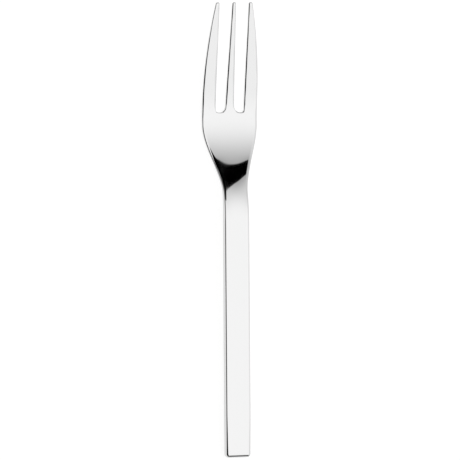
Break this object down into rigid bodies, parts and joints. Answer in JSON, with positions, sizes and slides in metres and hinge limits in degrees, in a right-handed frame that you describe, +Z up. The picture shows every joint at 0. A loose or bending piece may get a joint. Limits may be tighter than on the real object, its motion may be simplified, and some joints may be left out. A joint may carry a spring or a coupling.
{
  "type": "serving fork",
  "caption": "Forged serving fork in mirror-polished stainless steel, with a plain flat bar handle, a flared dished head and long tapering tines.",
  "frame": {"origin": "on the table that the fork lies on, under the middle of its overall length and width", "axes": "+Y from the handle's end towards the tips, +Z up from the table to the hollow side, +X to the right with the tips pointing away"},
  "size_m": [0.0308, 0.2398, 0.0129],
  "materials": {
    "polished_steel": "polished"
  },
  "bodies": {
    "root": {"fork": "polished_steel"}
  },
  "joints": []
}
